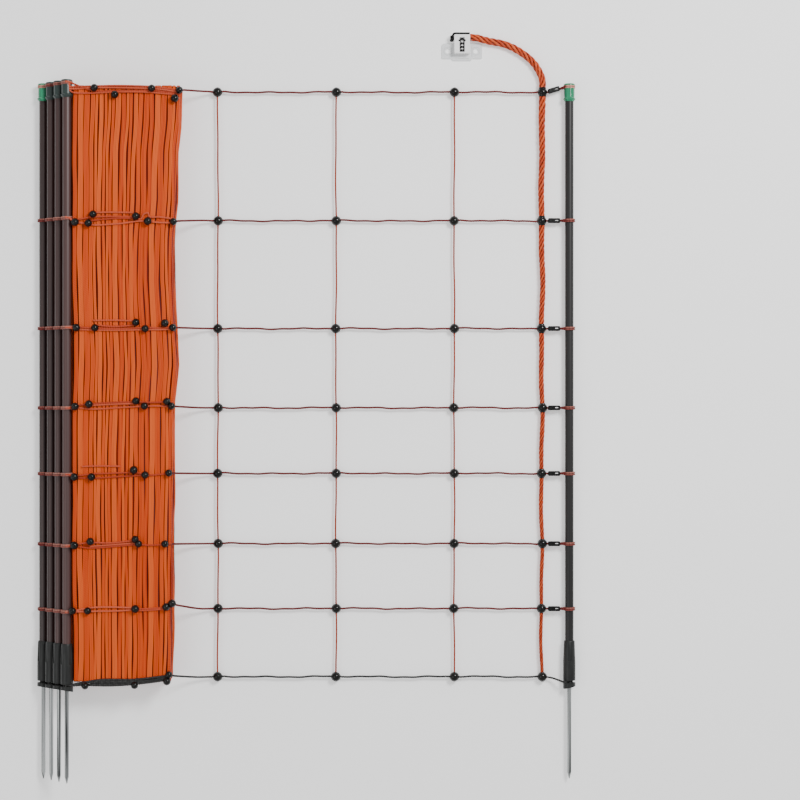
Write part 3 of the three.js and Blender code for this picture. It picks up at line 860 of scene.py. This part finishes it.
def add_row(row):
    y = ROW_Y[row]
    lowest, top = row == 0, row == len(ROW_Y) - 1
    loop_y = SLOT_Y if lowest else GROOVE_Y if top else y
    core = SPIKE_RADIUS if lowest else GROOVE_RADIUS if top else TUBE_RADIUS
    radius = core + LINE_RADIUS + 0.1
    parts = []
    for i, (x, z) in enumerate(GATHERED):
        parts += post_loop(x, z, loop_y, radius, 0.92 if top and not i else 0.5 + 0.05 * i)
        if i:
            before = GATHERED[i - 1]
            middle = ((x + before[0]) / 2, loop_y, (z + before[1]) / 2)
            reach = POST_PITCH / 2 - radius + 2
            away = np.array([x - before[0], 0, z - before[1]]) / POST_PITCH
            parts.append(twine([middle - away * reach, middle, middle + away * reach], step=1.5, tint=0.5))
    strings, knots = BELTS[row]
    belt_parts = []
    belt_radius = 1.9 if lowest else 1.5
    for k, string in enumerate(strings):
        lift = 0.25 * (k % 2)
        path = [(x, y + dy, BELT_Z + lift) for x, dy in string]
        if string[0][0] < -340:
            x, z = GATHERED[-1]
            on_post = (x - 1, loop_y + 0.4 * k, z + radius + 0.3)
            leaving = (x + 5, loop_y, max(BELT_Z + 1, z + radius - 1))
            path = [on_post, leaving] + [p for p in path if p[0] < x + 6 or p[0] > x + 10]
        belt_parts.append(twine(path, belt_radius, tint=random.uniform(0.35, 0.9)))
    edge_x, edge_dy = max(knots[:-1] if top else knots, key=lambda place: place[0])
    first = STRAND_X[0]
    phase = row * 1.7
    xs = np.linspace(first + 9, ROPE_X - 4, 110)
    open_run = wavy_line(xs, y, KNOT_Z, phase, 0.8)
    fall = [
        (edge_x, y + edge_dy, BELT_Z + 1),
        (edge_x + 6, y + edge_dy * 0.75, BELT_Z - 4),
        (edge_x + 16, y + edge_dy * 0.5, 38),
        (edge_x + 28, y + edge_dy * 0.2, 23),
        (edge_x + 42, y, 12.5),
        (first - 6, y, KNOT_Z + 0.6),
    ]
    line = np.vstack([fall, open_run])
    if lowest:
        wall_top = END_POST[1] + SLEEVE_RADIUS
        end = [
            (377, SLOT_Y + 5.2, 9.0),
            (388, SLOT_Y + 2.2, 14.0),
            (394.6, SLOT_Y + 0.3, wall_top - 0.4),
            (398.4, SLOT_Y, wall_top - 0.7),
            (END_POST[0] - 0.5, SLOT_Y, END_POST[1] + radius),
        ]
    else:
        end = [(ROPE_X + 8, y, 8.4), (ROPE_X + 11, y + (loop_y - y) * 0.13, 9.6)]
    parts.append(twine(np.vstack([line, end]), OPEN_RADIUS, tint=0.45, step=1.6))
    parts += post_loop(*END_POST, loop_y, radius, 0.92 if top else 0.55)
    if not lowest:
        for k, dy in enumerate((-1.1, 1.1)):
            for up in (-1, 1):
                start = (388.5, y + (loop_y - y) * 0.6 + dy * 0.3, 9.4)
                away = (END_POST[0] - radius * 0.72, loop_y + dy, END_POST[1] + up * radius * 0.7)
                middle = [(a + b) / 2 for a, b in zip(start, away)]
                middle[2] += up * 0.6
                parts.append(twine([start, middle, away], tint=0.45, step=1.5))
    name = "ground_line" if lowest else "top_line" if top else f"net_line_{row + 1}"
    material = GROUND if lowest else LINE_PAINTED_SHADE
    slot = "ground_line" if lowest else "net_line"
    piece(f"strings_{row + 1}", parts, material, slot, name)
    piece(f"belts_{row + 1}", belt_parts, GROUND if lowest else BELT, slot, name)
    knot_parts = []
    for x, dy in knots:
        size = random.uniform(5.2, 5.9)
        place = (x, min(y + dy, 529.0), BELT_Z - 1.6 + size)
        knot_parts += knot(place, size, random.uniform(-0.6, 0.6), random.uniform(0.15, 0.75))
    piece(f"belt_knots_{row + 1}", knot_parts, KNOT, "knot_plastic", name)


for row in range(len(ROW_Y)):
    add_row(row)


# Ferrules, each with a window near the post
def ferrule_part():
    body = rounded_box((18.4, 7.4, 7.2), 1.6)
    tools = [rounded_box((5.0, 1.4, 12), 0.65, (4.0, 0.3, 0))]
    body = carved(body, tools)
    boss = moved(lathe([(2.6, 0), (2.6, 0.5), (2.2, 0.9)], sides=20), ALONG_Z, (-5.2, 0, 3.3))
    ridge = rounded_box((0.8, 5.6, 0.9), 0.35, (-1.6, 0, 3.5))
    return [body, boss, ridge]


ferrule_shape = ferrule_part()
FERRULE_START = ROPE_X + KNOT_Z
FERRULE_REACH = 1.1 + 9.2
POST_LOOP = 8.3
for row, y in enumerate(ROW_Y[1:], 2):
    rise = GROOVE_Y - y if row == len(ROW_Y) else 0.0
    lean = math.atan2(rise, END_POST[0] - POST_LOOP - FERRULE_START)
    middle = (FERRULE_START + FERRULE_REACH * math.cos(lean), y + FERRULE_REACH * math.sin(lean), 9.85)
    parts = [moved(part, about_z(lean), middle, 0.3) for part in ferrule_shape]
    piece(f"ferrule_body_{row}", parts, BLACK, "black_plastic", f"ferrule_{row}", smooth=30)


# Folded bays: rows of strands in each layer, with only short ends where other strands hide them. Every other
# row is darkened and a dark block fills each layer: painted shade.
EDGE_Y = [-386, -316, -210, -104, -28, 37, 101, 230, 298, 352, 427, 470, 530]
EDGE_X = [
    -206.8, -203.7, -203, -200.7, -202.2, -202.2, -196.2,
    -202.2, -200.7, -196.2, -196.2, -191.4, -190.2,
]
LEAN_LEFT, LEAN_WIDTH = -352, 160
FOLDED_RADIUS, HIDDEN_RADIUS = 1.25, 1.22


def strand_bank(xs, zs, low, high, steps, radius, sides, tints, wander, groups=None):
    """Upright strands side by side, each following a slow wave, with painted shade on their sides and
    undersides.
    """
    ys = np.linspace(low, high, steps)
    count = len(xs)
    groups = np.arange(count) if groups is None else groups
    phase = np.cumsum(random.normal(0, 0.35, count))[groups, None]
    own = random.uniform(0, 2 * math.pi, (3, count))[:, groups, None]
    waves = 0.9 * np.sin(ys / 74 + phase) + 0.6 * np.sin(ys / 36 + own[0]) + 0.2 * np.sin(ys / 15 + own[1])
    share = ((xs - LEAN_LEFT) / LEAN_WIDTH).clip(0, 1)[:, None]
    lean = (np.interp(ys, EDGE_Y, EDGE_X) - BUNDLE_RIGHT)[None, :] * share
    depth = wander * 0.45 * np.sin(ys / 41 + own[2])
    across = xs[:, None] + wander * waves + lean
    centres = np.stack([across, np.broadcast_to(ys, (count, steps)), zs[:, None] + depth], -1)
    a = (np.arange(sides) + 0.5) * 2 * math.pi / sides
    ring = np.stack([np.cos(a), np.zeros(sides), -np.sin(a)], -1) * radius
    # Painted shade: each strand's vertices darken as they face sideways or down, in place of the shade
    # between neighbouring strands.
    shade = np.tile(np.interp(-np.sin(a), [-0.2, 0.7], [-0.35, 0.0]), steps)
    return [(*grid_part(centres[k, :, None] + ring)[:2], tints[k] + shade) for k in range(count)]


def grouped_places(left, right):
    """Places of strands in twos and threes, with a gap between groups."""
    places, tints, groups, x, group = [], [], [], left + 1.3, 0
    while x < right - 1.2:
        size = random.choice([2, 2, 3, 3, 4])
        tint = random.uniform(0.55, 0.95)
        for _ in range(size):
            if x > right - 1.2:
                break
            places.append(x)
            tints.append(tint + random.normal(0, 0.04))
            groups.append(group)
            x += 2.0
        x += random.uniform(0.9, 2.0)
        group += 1
    return np.array(places), np.clip(tints, 0, 1), np.array(groups)


def corner_drop(xs, right, reach=9.0, fall=6.0):
    """How far the strands sink at the bundle's right edge."""
    t = np.clip((xs - (right - reach)) / reach, 0, 1)
    return fall * (1 - np.sqrt(1 - t * t * 0.98))


ROWS_IN_LAYER = 5
ROW_STEP = 2.58
LOWEST_STRAND = 1.9
SHORT_END = 26
END_TOP, END_BOTTOM = 524.0, -379.5
for layer in range(len(GATHERED)):
    left = GATHERED[layer][0] + LAYER_LEFT
    right = BUNDLE_RIGHT
    base = layer * LAYER_HEIGHT
    top_layer = layer == len(GATHERED) - 1
    parts = []
    for r in range(ROWS_IN_LAYER):
        z = base + LAYER_HEIGHT - 1.4 - r * ROW_STEP
        # The odd rows, each under a row of grouped strands, take dark tints: painted shade in the grooves
        # between the groups.
        if r % 2:
            xs = np.arange(left + 2.4, right - 1.2, 2.5)
            tints, groups = random.uniform(0.0, 0.3, len(xs)), np.arange(len(xs))
        else:
            xs, tints, groups = grouped_places(left, right)
        zs = np.full(len(xs), z)
        if top_layer:
            uneven = random.uniform(-0.7, 0.1, len(xs)) * (r == 0)
            zs = zs - corner_drop(xs, right) * (1 - r / ROWS_IN_LAYER) + uneven
        zs = np.maximum(zs, LOWEST_STRAND)
        seen = (xs > right - 9) | (xs < left + 16)
        if top_layer and r < 2:
            seen[:] = True
        sides = 8 if top_layer and r == 0 else 6
        steps = 90 if top_layer and r == 0 else 48
        ends = random.uniform(-1.5, 1.5, 1)[0]
        groups = np.unique(groups[seen], return_inverse=True)[1]
        low, high = END_BOTTOM + ends, END_TOP + ends
        parts += strand_bank(
            xs[seen], zs[seen], low, high, steps, FOLDED_RADIUS, sides, tints[seen], 1.2, groups
        )
        hidden = ~seen
        if hidden.any():
            for low, high in ((END_BOTTOM, END_BOTTOM + SHORT_END), (END_TOP - SHORT_END, END_TOP)):
                parts += strand_bank(
                    xs[hidden], zs[hidden], low + ends, high + ends, 3, HIDDEN_RADIUS, 6, tints[hidden], 0.5
                )
    # A block with the darkest tint fills each layer: painted shade seen through the gaps between strands.
    core_right = right - 9
    core = rounded_box((core_right - left - 14, END_TOP - END_BOTTOM - 6, 10.0), 1.0)
    core = moved(core, None, ((core_right + left) / 2 + 2, (END_TOP + END_BOTTOM) / 2, base + 5.6), 0.0)
    parts.append(core)
    piece(f"folded_strands_{layer + 1}", parts, FOLDED, "strand", f"folded_layer_{layer + 1}", smooth=60)

low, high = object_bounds()
